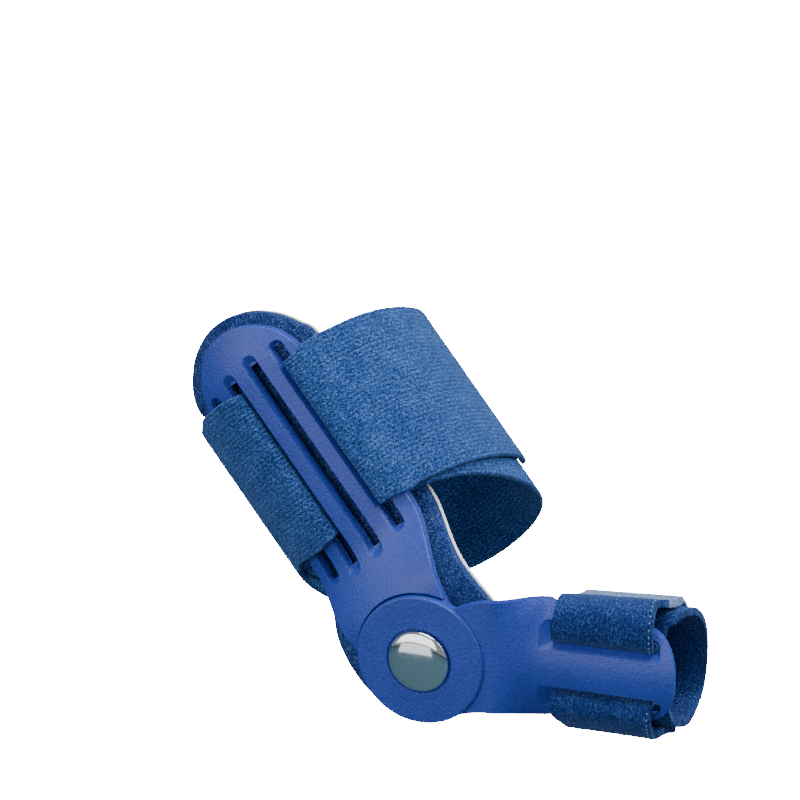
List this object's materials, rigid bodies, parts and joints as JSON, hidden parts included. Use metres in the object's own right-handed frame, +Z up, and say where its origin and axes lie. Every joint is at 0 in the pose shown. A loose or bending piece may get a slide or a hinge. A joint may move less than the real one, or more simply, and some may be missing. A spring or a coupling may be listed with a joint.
{
  "type": "bunion corrector",
  "caption": "Hinged splint for the big toe: a padded plate with long slots and a toe arm turn on a rivet, with a band round the midfoot and one round the toe.",
  "frame": {"origin": "on the hinge axis, at the pad's inner face, where it lies on the ball joint of the big toe", "axes": "+Z up, +X towards the toe's tip, +Y into the foot; the hinge axis runs along Y"},
  "size_m": [0.1503, 0.0933, 0.1117],
  "materials": {
    "blue_plastic": "fine grained, satin",
    "chrome": "polished",
    "loop_fabric": "loop pile",
    "white_foam": "soft foam",
    "elastic_band": "brushed loop",
    "hook_tape": "fine hooks"
  },
  "bodies": {
    "splint": {"splint_plate": "blue_plastic", "rivet": "chrome", "pad_cover": "loop_fabric", "pad_foam": "white_foam", "instep_strap": "elastic_band", "instep_hook_top": "hook_tape", "instep_hook_sole": "hook_tape"},
    "toe": {"toe_arm": "blue_plastic", "toe_strap": "elastic_band", "toe_hook_top": "hook_tape", "toe_hook_sole": "hook_tape"}
  },
  "joints": [
    {"name": "toe_hinge", "type": "hinge", "parent": "splint", "child": "toe", "pos_m": [0, 0, 0], "axis": [0, -1, 0], "range_deg": [-112, 12]}
  ]
}
